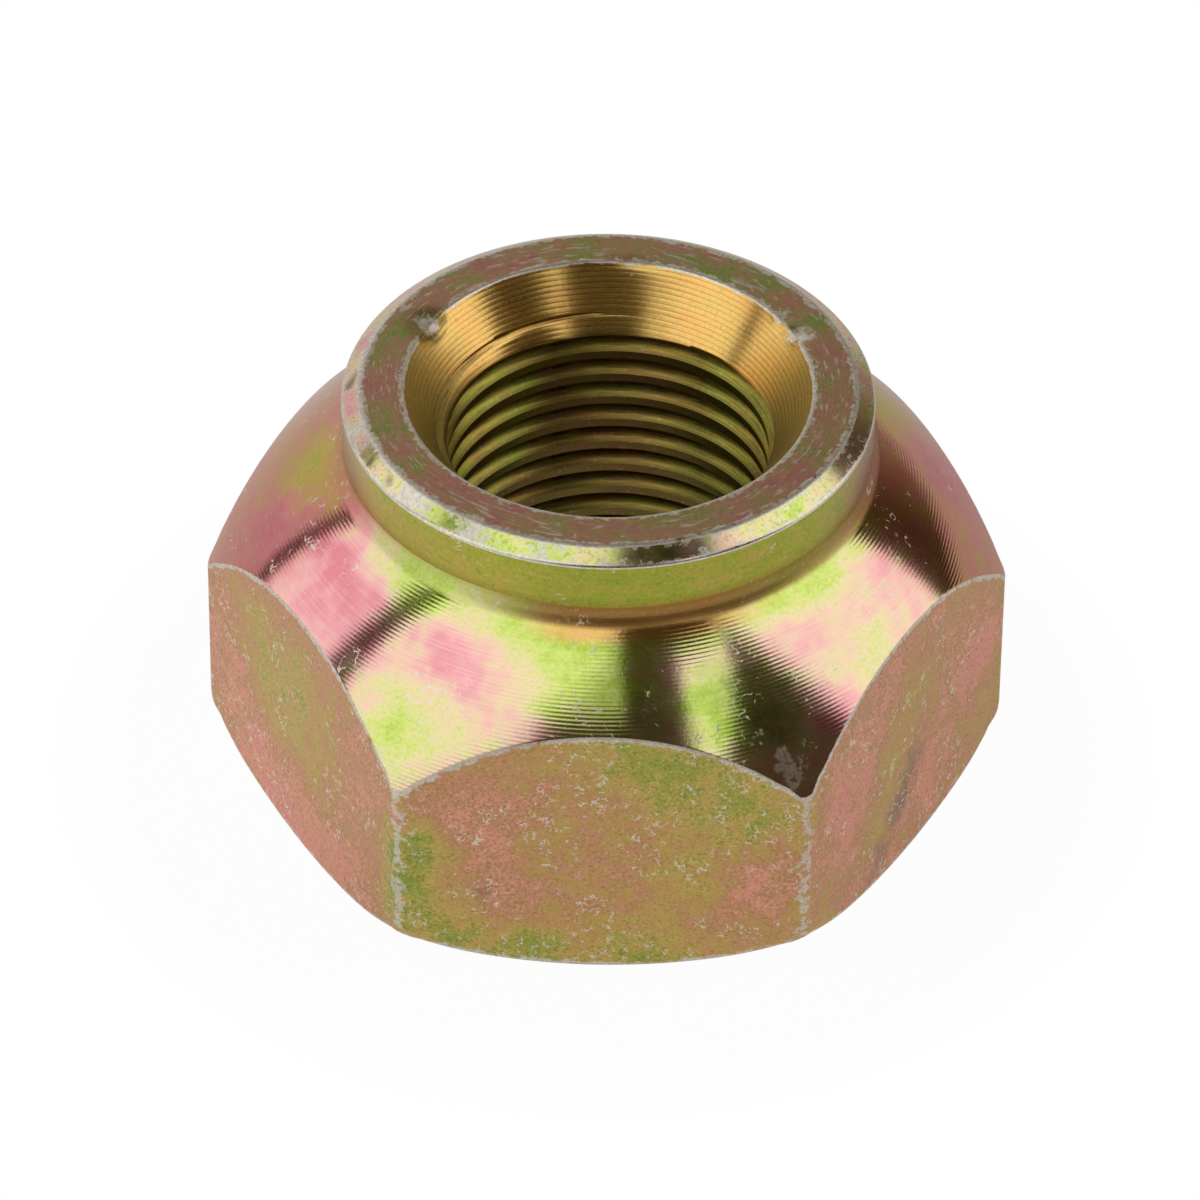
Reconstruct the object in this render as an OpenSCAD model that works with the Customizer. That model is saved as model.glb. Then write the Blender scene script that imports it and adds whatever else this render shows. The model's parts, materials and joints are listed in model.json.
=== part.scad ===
// Wheel lug nut with a ball seat and a pilot collar.
// The nut stands on its flat outer face, with the collar up and its axis along Z.
// Two hex flats face along Y and two hex corners lie along X. All lengths are millimetres.

/* [Hex] */
// Width across the hex flats
hex_af = 38.1; // [34:0.1:42]
// Radius of the rounded vertical corners of the hex
hex_corner_r = 1.2; // [0.4:0.1:4]

/* [Height] */
// Height from the outer face to the end of the collar
nut_h = 25.4; // [20:0.1:32]

/* [Outer face] */
// Diameter of the flat outer face inside its chamfer
face_d = 36; // [30:0.1:40]
// Slope of the chamfer that turns the hex corners off the outer face
face_chamfer_angle = 32; // [15:1:45]

/* [Ball seat] */
// Radius of the ball seat
seat_r = 24.8; // [22:0.1:32]

/* [Collar] */
// Diameter of the collar that pilots the nut into the wheel
collar_d = 28.8; // [25:0.1:34]
// Height of the collar above the edge of the ball seat
collar_h = 4.3; // [2.5:0.1:7]
// Radial width of the chamfer on the rim of the collar
rim_chamfer_w = 1; // [0.3:0.1:2.5]
// Height of the chamfer on the rim of the collar
rim_chamfer_h = 0.7; // [0.3:0.1:2.5]
// Radius of the fillet between the collar and the ball seat
neck_r = 1.2; // [0.4:0.1:2.5]

/* [Bore] */
// Diameter of the tapped bore at the crests of its thread
bore_d = 17.46; // [14:0.01:19]
// Diameter of the countersink where it meets the end of the collar
collar_mouth_d = 22.1; // [19:0.1:25.5]
// Diameter of the countersink where it meets the outer face
face_mouth_d = 20; // [19.2:0.1:28]
// Included angle of both countersinks
countersink_angle = 68; // [60:1:120]

/* [Hidden] */
$fn = 128;

// How far cutting shapes run past the faces that they cut
cut = 1;
// How deep a rounding dips into the faces beside it, so that it crosses them instead of only touching
blend = 0.02;
plating_colour = [0.62, 0.53, 0.32];

hex_apothem = hex_af / 2;
corner_apothem = hex_apothem - hex_corner_r + blend;
flat_w = 2 * corner_apothem * tan(30);

face_r = face_d / 2;
collar_r = collar_d / 2;
bore_r = bore_d / 2;
collar_mouth_r = collar_mouth_d / 2;
face_mouth_r = face_mouth_d / 2;
collar_mouth_h = (collar_mouth_r - bore_r) / tan(countersink_angle / 2);
face_mouth_h = (face_mouth_r - bore_r) / tan(countersink_angle / 2);

// The ball's centre lies on the axis, so that the ball meets the collar at the seat's edge
seat_edge_z = nut_h - collar_h;
seat_centre_z = seat_edge_z - sqrt(seat_r ^ 2 - collar_r ^ 2);

// The neck fillet touches the collar at its own height and the ball at its foot
neck_centre_r = collar_r + neck_r - blend;
neck_reach = seat_r + neck_r - blend;
neck_centre_z = seat_centre_z + sqrt(neck_reach ^ 2 - neck_centre_r ^ 2);
neck_foot_share = seat_r / neck_reach;
neck_foot_r = neck_foot_share * neck_centre_r;
neck_foot_z = seat_centre_z + neck_foot_share * (neck_centre_z - seat_centre_z);

// Cross-section of the hex bar, with rounded corners
module hex_outline() {
    intersection() {
        circle(r = hex_apothem / cos(30), $fn = 6);
        union() {
            for (turn = [0:60:120])
                rotate(turn) square([flat_w, hex_af + 2 * cut], center = true);
            for (turn = [0:60:300])
                rotate(turn) translate([corner_apothem / cos(30), 0]) circle(r = hex_corner_r);
        }
    }
}

// Half section under the ball seat, with the chamfer of the outer face.
// The ball runs down to its widest level and carries on straight from there.
module body_section() {
    intersection() {
        union() {
            translate([0, seat_centre_z]) circle(r = seat_r);
            translate([0, seat_centre_z - seat_r]) square(seat_r);
        }
        polygon([
            [0, 0],
            [face_r, 0],
            [face_r + nut_h / tan(face_chamfer_angle), nut_h],
            [0, nut_h]
        ]);
    }
}

// Half section of the collar, rooted in the body, with its chamfered rim and filleted neck
module collar_section() {
    difference() {
        polygon([
            [0, seat_edge_z / 2],
            [neck_foot_r, seat_edge_z / 2],
            [neck_foot_r, neck_foot_z],
            [neck_centre_r, neck_centre_z],
            [collar_r, neck_centre_z],
            [collar_r, nut_h - rim_chamfer_h],
            [collar_r - rim_chamfer_w, nut_h],
            [0, nut_h]
        ]);
        translate([neck_centre_r, neck_centre_z]) circle(r = neck_r);
    }
}

// Half section of the bore and the countersinks at both of its ends
module bore_section() {
    polygon([
        [0, -cut],
        [face_mouth_r, -cut],
        [face_mouth_r, 0],
        [bore_r, face_mouth_h],
        [bore_r, nut_h - collar_mouth_h],
        [collar_mouth_r, nut_h],
        [collar_mouth_r, nut_h + cut],
        [0, nut_h + cut]
    ]);
}

// Half section of everything that is turned on the lathe
module turned_section() {
    difference() {
        union() {
            body_section();
            collar_section();
        }
        bore_section();
    }
}

// The nut is a turned blank, with the flats of the hex bar left around it
module lug_nut() {
    color(plating_colour)
        intersection() {
            rotate_extrude() turned_section();
            translate([0, 0, -cut]) linear_extrude(nut_h + 2 * cut) hex_outline();
        }
}

lug_nut();
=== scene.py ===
"""A wheel lug nut with a ball seat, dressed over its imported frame.

The nut is one turned and tapped piece of hexagon bar. Its skin is worked out as one closed surface:
a half section that follows the hex around the axis, and a helical strip for the thread in the bore.
The finish is a yellow chromate over zinc, which shifts between green, gold and rose.
"""

import json
import logging
import math
from collections.abc import Callable
from dataclasses import dataclass, field
from enum import IntEnum
from itertools import pairwise, starmap
from typing import Any

import bmesh
import bpy
import numpy as np
from mathutils import Matrix, Vector


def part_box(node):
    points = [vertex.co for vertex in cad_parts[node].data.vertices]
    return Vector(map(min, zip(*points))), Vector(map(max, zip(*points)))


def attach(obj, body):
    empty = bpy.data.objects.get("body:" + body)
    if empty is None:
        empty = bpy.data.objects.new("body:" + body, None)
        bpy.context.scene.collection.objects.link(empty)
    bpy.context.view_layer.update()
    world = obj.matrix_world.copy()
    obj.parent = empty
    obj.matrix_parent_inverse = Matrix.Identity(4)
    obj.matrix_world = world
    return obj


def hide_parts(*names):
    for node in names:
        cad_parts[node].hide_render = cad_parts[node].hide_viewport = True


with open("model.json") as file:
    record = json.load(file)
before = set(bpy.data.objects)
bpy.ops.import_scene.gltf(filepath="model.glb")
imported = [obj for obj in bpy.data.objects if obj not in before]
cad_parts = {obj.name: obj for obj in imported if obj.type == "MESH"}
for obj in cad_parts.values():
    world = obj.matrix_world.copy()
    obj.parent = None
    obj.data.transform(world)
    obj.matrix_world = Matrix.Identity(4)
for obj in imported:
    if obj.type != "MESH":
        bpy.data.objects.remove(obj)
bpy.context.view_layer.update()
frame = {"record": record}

LOG = logging.getLogger("lug_nut")
MM = 0.001
NODE_NAME = "lug_nut"
BODY_NAME = "root"
HEX_SIDES = 6
SECTOR = math.radians(60)
FRONT_TO_X = 90.0
DEGREES = 180 / math.pi
NOISE_MIDDLE = 0.5

Number = float | int
Row = np.ndarray


class Zone(IntEnum):
    """Parts of the nut's skin, each with a finish of its own."""

    FACE = 0
    FLAT = 1
    SEAT = 2
    COLLAR = 3
    RIM = 4
    TOP = 5
    BORE = 6


@dataclass(frozen=True)
class Stretch:
    """One stretch of the half section, as rows of points for every column around the axis.

    Attributes:
        zone: The part of the skin that the stretch belongs to.
        r: Radii in millimetres, rows by columns.
        z: Heights in millimetres, rows by columns.
    """

    zone: Zone
    r: Row
    z: Row


@dataclass(frozen=True)
class Dent:
    """A knock in the mouth of the bore.

    Attributes:
        azimuth: Place around the axis in degrees, from the front towards the right.
        width: Half width around the rim in millimetres.
        reach: How far it runs from the edge in millimetres.
        depth: How deep it is in millimetres.
    """

    azimuth: float
    width: float
    reach: float
    depth: float


def azimuth_to_angle(azimuth: float) -> float:
    """Turn degrees from the front towards the right into radians about +Z from +X."""
    return math.radians(azimuth - FRONT_TO_X)


def around_axis(azimuth: float, radius: float, height: float) -> tuple[float, float, float]:
    """Return the point at an azimuth in degrees, a radius and a height."""
    angle = azimuth_to_angle(azimuth)
    return radius * math.cos(angle), radius * math.sin(angle), height


def smooth_max(a: Row, b: Row, ease: float) -> Row:
    """Return half of a + b + root of (a - b) squared plus ease squared: a maximum with a rounded knee."""
    return (a + b + np.sqrt((a - b) ** 2 + ease**2)) / 2


@dataclass
class NutForm:
    """Driving sizes of the nut, in millimetres and degrees."""

    hex_af: float
    height: float
    bore_r: float
    collar_r: float
    hex_corner_r: float = 1.2
    corner_blend: float = 0.02
    face_r: float = 18.0
    face_chamfer_angle: float = 32.0
    seat_r: float = 24.8
    collar_h: float = 4.3
    rim_chamfer_w: float = 1.0
    rim_chamfer_h: float = 0.7
    neck_r: float = 1.2
    collar_mouth_r: float = 11.05
    face_mouth_r: float = 10.0
    countersink_half_angle: float = 34.0
    thread_major_r: float = 9.475
    thread_pitch: float = 1.5875
    thread_root_z: float = 21.88
    thread_root_half: float = 0.06
    thread_crest_half: float = 0.25
    ring_margin: float = 0.12

    @classmethod
    def from_frame(cls, record: dict[str, Any]) -> "NutForm":
        """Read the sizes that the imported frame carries.

        Args:
            record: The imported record.

        Returns:
            The form, with its other sizes at their defaults.
        """
        low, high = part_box(NODE_NAME)
        mounts = {mount["name"]: mount for mount in record["mounts"]}
        return cls(
            hex_af=(high.y - low.y) / MM,
            height=(high.z - low.z) / MM,
            bore_r=mounts["stud_thread"]["dims"]["r_mm"],
            collar_r=mounts["collar"]["dims"]["r_mm"],
        )

    @property
    def apothem(self) -> float:
        """Distance from the axis to a hex flat."""
        return self.hex_af / 2

    @property
    def seat_centre_z(self) -> float:
        """Height of the ball's centre, which puts the ball's edge at the collar's foot."""
        return self.height - self.collar_h - math.sqrt(self.seat_r**2 - self.collar_r**2)

    @property
    def neck_centre(self) -> tuple[float, float]:
        """Centre of the fillet between collar and ball.

        Returns:
            Its radius and height in millimetres.
        """
        r = self.collar_r + self.neck_r - self.corner_blend
        reach = self.seat_r + self.neck_r - self.corner_blend
        return r, self.seat_centre_z + math.sqrt(reach**2 - r**2)

    @property
    def countersink_slope(self) -> float:
        """Radius gained per height in both countersinks."""
        return math.tan(math.radians(self.countersink_half_angle))

    @property
    def ring_r(self) -> float:
        """Radius of the rings where the thread's strip meets the countersinks."""
        return self.thread_major_r + self.ring_margin

    @property
    def upper_ring_z(self) -> float:
        """Height at which the upper countersink has the ring's radius."""
        return self.height - (self.collar_mouth_r - self.ring_r) / self.countersink_slope

    @property
    def lower_ring_z(self) -> float:
        """Height at which the lower countersink has the ring's radius."""
        return (self.face_mouth_r - self.ring_r) / self.countersink_slope


@dataclass
class LugNut:
    """The nut's skin: columns around the axis and rows along the section, with lengths in millimetres."""

    form: NutForm
    flat_columns: int = 36
    corner_columns: int = 6
    edge_share: float = 0.012
    knee: float = 0.015
    foot_trim: float = 0.22
    foot_corner_trim: float = 1.1
    foot_corner_reach: float = 2.2
    mouth_trim: float = 0.12
    brim_trim: float = 0.2
    crown_trim: float = 0.16
    collar_trim: float = 0.05
    lip_trim: float = 0.14
    edge_rows: int = 4
    neck_rows: int = 9
    flank_rows: int = 6
    crest_rows: int = 3
    dent_cut: float = 3.0
    dent_spread: float = 0.4
    weld: float = 2e-6
    sharp_angle: float = 0.75
    dents: tuple[Dent, ...] = (
        Dent(azimuth=-119.0, width=0.8, reach=0.7, depth=0.42),
        Dent(azimuth=-113.0, width=0.3, reach=0.3, depth=0.12),
        Dent(azimuth=116.0, width=0.6, reach=0.5, depth=0.22),
        Dent(azimuth=123.0, width=0.4, reach=0.35, depth=0.14),
        Dent(azimuth=172.0, width=1.4, reach=0.3, depth=0.08),
    )
    theta: Row = field(init=False)

    def __post_init__(self) -> None:
        """Place the columns."""
        self.theta = self.columns()

    def columns(self) -> Row:
        """Lay out the columns, evenly on each flat and each corner, with one on each edge between them.

        Returns:
            Their angles about the axis in radians.
        """
        f = self.form
        centre = (f.apothem - f.hex_corner_r + f.corner_blend) * math.tan(SECTOR / 2)
        cross = centre + math.sqrt(2 * f.hex_corner_r * f.corner_blend - f.corner_blend**2)
        half = math.atan2(cross, f.apothem)
        on_flat = np.arctan(np.linspace(-math.tan(half), math.tan(half), self.flat_columns + 1))
        on_corner = np.linspace(half, SECTOR - half, self.corner_columns + 1)
        sector = np.concatenate([on_flat[:-1], on_corner[:-1]]) + SECTOR / 2
        turns = SECTOR * np.arange(HEX_SIDES)
        return (turns[:, None] + sector[None, :]).ravel()

    def hex_radius(self, theta: Row) -> Row:
        """Distance from the axis to the hex bar's side.

        On a flat it is the apothem over the cosine of the angle from the flat's middle. Past the corner's
        edge it is where the ray leaves the corner's circle.

        Args:
            theta: Angles about the axis in radians.

        Returns:
            Radii in millimetres.
        """
        f = self.form
        alpha = np.mod(theta, SECTOR) - SECTOR / 2
        beta = SECTOR / 2 - np.abs(alpha)
        centre = (f.apothem - f.hex_corner_r + f.corner_blend) / math.cos(SECTOR / 2)
        inside = np.maximum(f.hex_corner_r**2 - (centre * np.sin(beta)) ** 2, 0.0)
        corner = centre * np.cos(beta) + np.sqrt(inside)
        flat = f.apothem / np.cos(alpha)
        on_corner = centre * np.sin(beta) < f.hex_corner_r
        return np.where(on_corner, np.minimum(flat, corner), flat)

    def shares(self, rows: int) -> Row:
        """Return even shares from 0 to 1, with an extra row close to each end, as a column."""
        inner = np.linspace(self.edge_share, 1 - self.edge_share, rows)
        return np.concatenate([[0.0], inner, [1.0]])[:, None]

    def straight(
        self,
        zone: Zone,
        start: tuple[Any, Any],
        end: tuple[Any, Any],
        rows: int,
        trims: tuple[Any, Any],
    ) -> Stretch:
        """Make a straight stretch: start plus a share of the way to end, cut short at both ends.

        Args:
            zone: The part of the skin.
            start: Radius and height of its start, as numbers or as one value per column.
            end: Radius and height of its end.
            rows: How many rows it has between its edge rows.
            trims: Lengths left free for the rounded edges at its start and end.

        Returns:
            The stretch.
        """
        r0, z0, r1, z1 = np.broadcast_arrays(*start, *end, self.theta)[:4]
        length = np.hypot(r1 - r0, z1 - z0)
        low = trims[0] / length
        high = 1 - trims[1] / length
        t = low + (high - low) * self.shares(rows)
        return Stretch(zone, r0 + (r1 - r0) * t, z0 + (z1 - z0) * t)

    def edge(self, before: Stretch, corner: tuple[Any, Any], after: Stretch, zone: Zone) -> Stretch:
        """Round an edge with a quadratic curve from one stretch's end to the next one's start.

        Args:
            before: The stretch that ends at the edge.
            corner: Radius and height of the sharp corner.
            after: The stretch that starts at the edge.
            zone: The part of the skin that the rounding belongs to.

        Returns:
            The rows between the two stretches.
        """
        t = np.linspace(0, 1, self.edge_rows + 2)[1:-1, None]
        r = (1 - t) ** 2 * before.r[-1] + 2 * t * (1 - t) * corner[0] + t**2 * after.r[0]
        z = (1 - t) ** 2 * before.z[-1] + 2 * t * (1 - t) * corner[1] + t**2 * after.z[0]
        return Stretch(zone, r, z)

    def foot_trims(self, hex_r: Row) -> Row:
        """Return how far the lower edge is rounded: more by a bell curve of the way from a hex corner."""
        away = (np.mod(self.theta + SECTOR / 2, SECTOR) - SECTOR / 2) * hex_r
        return self.foot_trim + self.foot_corner_trim * np.exp(-((away / self.foot_corner_reach) ** 2))

    def outer_section(self) -> list[Stretch]:
        """Lay out the half section from the lower ring of the bore, round the outside, to the upper ring.

        Returns:
            The stretches in order, with rounded edges between them.
        """
        f = self.form
        hex_r = self.hex_radius(self.theta)
        slope = math.tan(math.radians(f.face_chamfer_angle))
        foot_z = (hex_r - f.face_r) * slope
        crown_z = f.seat_centre_z + np.sqrt(f.seat_r**2 - hex_r**2)
        neck_r, neck_z = f.neck_centre
        share = f.seat_r / (f.seat_r + f.neck_r - f.corner_blend)
        seat_foot = math.asin(share * neck_r / f.seat_r)
        rim_z = f.height - f.rim_chamfer_h
        rim_r = f.collar_r - f.rim_chamfer_w
        foot = self.foot_trims(hex_r)
        mouth, brim, crown, lip = self.mouth_trim, self.brim_trim, self.crown_trim, self.lip_trim
        low_ring, low_mouth = (f.ring_r, f.lower_ring_z), (f.face_mouth_r, 0.0)
        face_rim, hex_foot, hex_crown = (f.face_r, 0.0), (hex_r, foot_z), (hex_r, crown_z)
        collar_rim, top_rim = (f.collar_r, rim_z), (rim_r, f.height)
        top_mouth, top_ring = (f.collar_mouth_r, f.height), (f.ring_r, f.upper_ring_z)

        lower = self.straight(Zone.BORE, low_ring, low_mouth, rows=3, trims=(0.0, mouth))
        face = self.straight(Zone.FACE, low_mouth, face_rim, rows=4, trims=(mouth, brim))
        chamfer = self.straight(Zone.FACE, face_rim, hex_foot, rows=4, trims=(brim, foot))
        flat = self.straight(Zone.FLAT, hex_foot, hex_crown, rows=6, trims=(foot, crown))
        wide = np.arcsin(hex_r / f.seat_r) - crown / f.seat_r
        polar = wide + (seat_foot - wide) * self.shares(rows=24)
        seat = Stretch(Zone.SEAT, f.seat_r * np.sin(polar), f.seat_centre_z + f.seat_r * np.cos(polar))
        start = math.atan2(f.seat_centre_z - neck_z, -neck_r) % (2 * math.pi)
        dip = math.acos(1 - f.corner_blend / f.neck_r)
        turn = start + (math.pi - dip - start) * np.linspace(0, 1, self.neck_rows + 1)[1:, None]
        neck_r_rows = neck_r + f.neck_r * np.cos(turn) + 0 * self.theta
        neck_z_rows = neck_z + f.neck_r * np.sin(turn) + 0 * self.theta
        neck = Stretch(Zone.SEAT, neck_r_rows, neck_z_rows)
        collar_foot = (f.collar_r, neck_z_rows[-1])
        collar = self.straight(Zone.COLLAR, collar_foot, collar_rim, rows=5, trims=(self.collar_trim, lip))
        rim = self.straight(Zone.RIM, collar_rim, top_rim, rows=4, trims=(lip, lip))
        top = self.straight(Zone.TOP, top_rim, top_mouth, rows=6, trims=(lip, mouth))
        cone = self.straight(Zone.BORE, top_mouth, top_ring, rows=10, trims=(mouth, 0.0))
        return [
            lower,
            self.edge(lower, low_mouth, face, Zone.FACE),
            face,
            self.edge(face, face_rim, chamfer, Zone.FACE),
            chamfer,
            self.edge(chamfer, hex_foot, flat, Zone.FLAT),
            flat,
            self.edge(flat, hex_crown, seat, Zone.FLAT),
            seat,
            neck,
            collar,
            self.edge(collar, collar_rim, rim, Zone.RIM),
            rim,
            self.edge(rim, top_rim, top, Zone.TOP),
            top,
            self.edge(top, top_mouth, cone, Zone.BORE),
            cone,
        ]

    def face_zones(self, zone: Row) -> Row:
        """Return the zone of the faces between rows: the later one's, or the bore's where a row has it."""
        mouth = (zone[:-1] == Zone.BORE) | (zone[1:] == Zone.BORE)
        return np.where(mouth, Zone.BORE, np.maximum(zone[:-1], zone[1:]))

    def knock(self, r: Row, z: Row) -> tuple[Row, Row]:
        """Press the dents into the mouth of the bore.

        Each dent lowers the skin by its depth times two bell curves: one of the distance along the rim,
        and one of the distance from the mouth's edge in the section.

        Args:
            r: Radii, rows by columns.
            z: Heights, rows by columns.

        Returns:
            The pressed radii and heights.
        """
        f = self.form
        away = np.hypot(r - f.collar_mouth_r, z - f.height)
        for dent in self.dents:
            turned = np.angle(np.exp(1j * (self.theta - azimuth_to_angle(dent.azimuth))))
            along = turned * f.collar_mouth_r
            bell = np.exp(-((along / dent.width) ** 2) - (away / dent.reach) ** 2)
            press = dent.depth * bell * np.where(away < self.dent_cut * dent.reach, 1.0, 0.0)
            z = z - press
            r = r + self.dent_spread * press
        return r, z

    def thread_rows(self) -> tuple[Row, Row]:
        """Lay out one pitch of the thread's section.

        A row's share of the way from root to crest goes evenly from 0 at the root's edge to 1 at the crest's
        edge, and the radius falls with it from the major one to the bore's.

        Returns:
            Distances below the middle of the root in millimetres, over one pitch, and radii there.
        """
        f = self.form
        half = f.thread_pitch / 2
        flank_end = half - f.thread_crest_half
        flank = np.linspace(f.thread_root_half, flank_end, self.flank_rows)
        crest = np.linspace(flank_end, half, self.crest_rows + 1)[1:]
        down = np.concatenate([[0.0], flank, crest])
        places = np.concatenate([down, f.thread_pitch - down[-2:0:-1]])
        away = np.minimum(places, f.thread_pitch - places)
        share = np.clip((away - f.thread_root_half) / (flank_end - f.thread_root_half), 0.0, 1.0)
        return places, f.thread_major_r - (f.thread_major_r - f.bore_r) * share

    def mouth_radius(self, z: Row) -> tuple[Row, Row]:
        """Measure both countersinks: a mouth's radius less the distance from the mouth times the slope.

        Args:
            z: Heights in millimetres.

        Returns:
            Radii of the upper and the lower cone there.
        """
        f = self.form
        upper = f.collar_mouth_r - (f.height - z) * f.countersink_slope
        lower = f.face_mouth_r - z * f.countersink_slope
        return upper, lower

    def thread_strip(self) -> tuple[Row, Row, int]:
        """Lay out the bore as a left-hand helical strip between its two rings.

        Each row runs once around and ends one pitch lower, where the row one pitch further on begins.
        The radius is the thread's section or a cone of the bore's ends, whichever is wider, and rows past a
        ring are held at the ring.

        Returns:
            Radii and heights, rows by columns, and how many rows make one pitch.
        """
        f = self.form
        places, radii = self.thread_rows()
        per_pitch = len(places)
        high, low = f.upper_ring_z, f.lower_ring_z
        above = math.ceil((high + f.thread_pitch - f.thread_root_z) / f.thread_pitch) + 1
        below = math.ceil((f.thread_root_z - low) / f.thread_pitch) + 1
        pitches = np.arange(-above, below)
        drop = (pitches[:, None] * f.thread_pitch + places[None, :]).ravel()
        z = f.thread_root_z - drop[:, None] - f.thread_pitch * self.theta[None, :] / (2 * math.pi)
        z = np.clip(z, low, high)
        section = np.broadcast_to(np.tile(radii, len(pitches))[:, None], z.shape)
        upper, lower = self.mouth_radius(z)
        r = smooth_max(section, np.maximum(upper, lower), self.knee)
        on_ring = (z >= high) | (z <= low)
        return np.where(on_ring, f.ring_r, r), z, per_pitch

    def build(self) -> bpy.types.Object:
        """Build the nut's closed skin as one mesh object.

        Returns:
            The object, at the origin, with each face's material number set by its zone.
        """
        n = len(self.theta)
        stretches = self.outer_section()
        r = np.concatenate([s.r for s in stretches])
        z = np.concatenate([s.z for s in stretches])
        zone = np.concatenate([np.full(len(s.r), s.zone) for s in stretches])
        r, z = self.knock(r, z)
        bore_r, bore_z, per_pitch = self.thread_strip()

        outer = np.arange(r.size).reshape(r.shape)
        bore = np.arange(bore_r.size).reshape(bore_r.shape) + r.size
        outer_next = np.roll(outer, -1, axis=1)
        outer_quads = np.stack([outer[:-1], outer_next[:-1], outer_next[1:], outer[1:]], -1)
        outer_zone = np.repeat(self.face_zones(zone), n)
        inner = np.stack([bore[:-1, :-1], bore[:-1, 1:], bore[1:, 1:], bore[1:, :-1]], -1)
        last = np.stack(
            [
                bore[: -1 - per_pitch, -1],
                bore[per_pitch:-1, 0],
                bore[1 + per_pitch :, 0],
                bore[1:-per_pitch, -1],
            ],
            -1,
        )
        quads = np.concatenate([outer_quads.reshape(-1, 4), inner.reshape(-1, 4), last])
        zones = np.concatenate([outer_zone, np.full(len(quads) - len(outer_zone), Zone.BORE)])

        all_r = np.concatenate([r, bore_r]) * MM
        all_z = np.concatenate([z, bore_z]) * MM
        points = np.stack([all_r * np.cos(self.theta), all_r * np.sin(self.theta), all_z], -1)
        return self.weld_mesh(points.reshape(-1, 3), quads, zones)

    def weld_mesh(self, points: Row, quads: Row, zones: Row) -> bpy.types.Object:
        """Put the arrays into a mesh, weld what coincides and drop what the weld flattens.

        Args:
            points: Vertex places in metres.
            quads: Vertex numbers of each face.
            zones: Material number of each face.

        Returns:
            The object, linked to the scene.
        """
        mesh = bpy.data.meshes.new("nut_skin")
        mesh.from_pydata(points.tolist(), [], quads.tolist())
        mesh.polygons.foreach_set("material_index", zones.astype(np.int32))
        work = bmesh.new()
        work.from_mesh(mesh)
        bmesh.ops.remove_doubles(work, verts=work.verts, dist=self.weld)
        volume = work.calc_volume(signed=True) / MM**3
        work.to_mesh(mesh)
        work.free()
        mesh.shade_smooth()
        mesh.set_sharp_from_angle(angle=self.sharp_angle)
        loop_edges = np.empty(len(mesh.loops), np.int32)
        mesh.loops.foreach_get("edge_index", loop_edges)
        open_edges = np.count_nonzero(np.bincount(loop_edges) != 2)
        LOG.info("nut_skin: %d faces, %d open edges, %.0f mm3", len(mesh.polygons), open_edges, volume)
        nut = bpy.data.objects.new("nut", mesh)
        bpy.context.scene.collection.objects.link(nut)
        return nut


def socket_first(operation: str) -> Callable[["Sock", "Sock | Number"], "Sock"]:
    """Return an operator with the socket as its first operand."""
    return lambda sock, other: sock.board.math(operation, sock, other)


def socket_second(operation: str) -> Callable[["Sock", "Sock | Number"], "Sock"]:
    """Return an operator with the socket as its second operand, for reflected forms."""
    return lambda sock, other: sock.board.math(operation, other, sock)


def socket_alone(operation: str) -> Callable[["Sock"], "Sock"]:
    """Return an operator with the socket as its only operand."""
    return lambda sock: sock.board.math(operation, sock)


class Sock:
    """A value in a shader's node tree, which takes arithmetic as Python does."""

    __add__, __radd__ = socket_first("ADD"), socket_second("ADD")
    __sub__, __rsub__ = socket_first("SUBTRACT"), socket_second("SUBTRACT")
    __mul__, __rmul__ = socket_first("MULTIPLY"), socket_second("MULTIPLY")
    __truediv__, __rtruediv__ = socket_first("DIVIDE"), socket_second("DIVIDE")
    __abs__ = socket_alone("ABSOLUTE")
    least, most = socket_first("MINIMUM"), socket_first("MAXIMUM")
    root, sine = socket_alone("SQRT"), socket_alone("SINE")

    def __init__(self, board: "Board", socket: bpy.types.NodeSocket) -> None:
        """Wrap an output socket of a node on a board."""
        self.board = board
        self.socket = socket

    def __neg__(self) -> "Sock":
        """Negate."""
        return self * -1.0

    def rise(self, low: float, high: float, top: float = 1.0) -> "Sock":
        """Add a smooth step.

        Args:
            low: Value at which the step is 0.
            high: Value at which it reaches its top, on either side of low.
            top: Its top.

        Returns:
            The step.
        """
        inputs = {
            "Value": self,
            "From Min": min(low, high),
            "From Max": max(low, high),
            "To Min": 0.0 if low <= high else top,
            "To Max": top if low <= high else 0.0,
        }
        settings = {"interpolation_type": "SMOOTHSTEP"}
        return self.board.out(self.board.node("ShaderNodeMapRange", settings, inputs), "Result")


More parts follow.
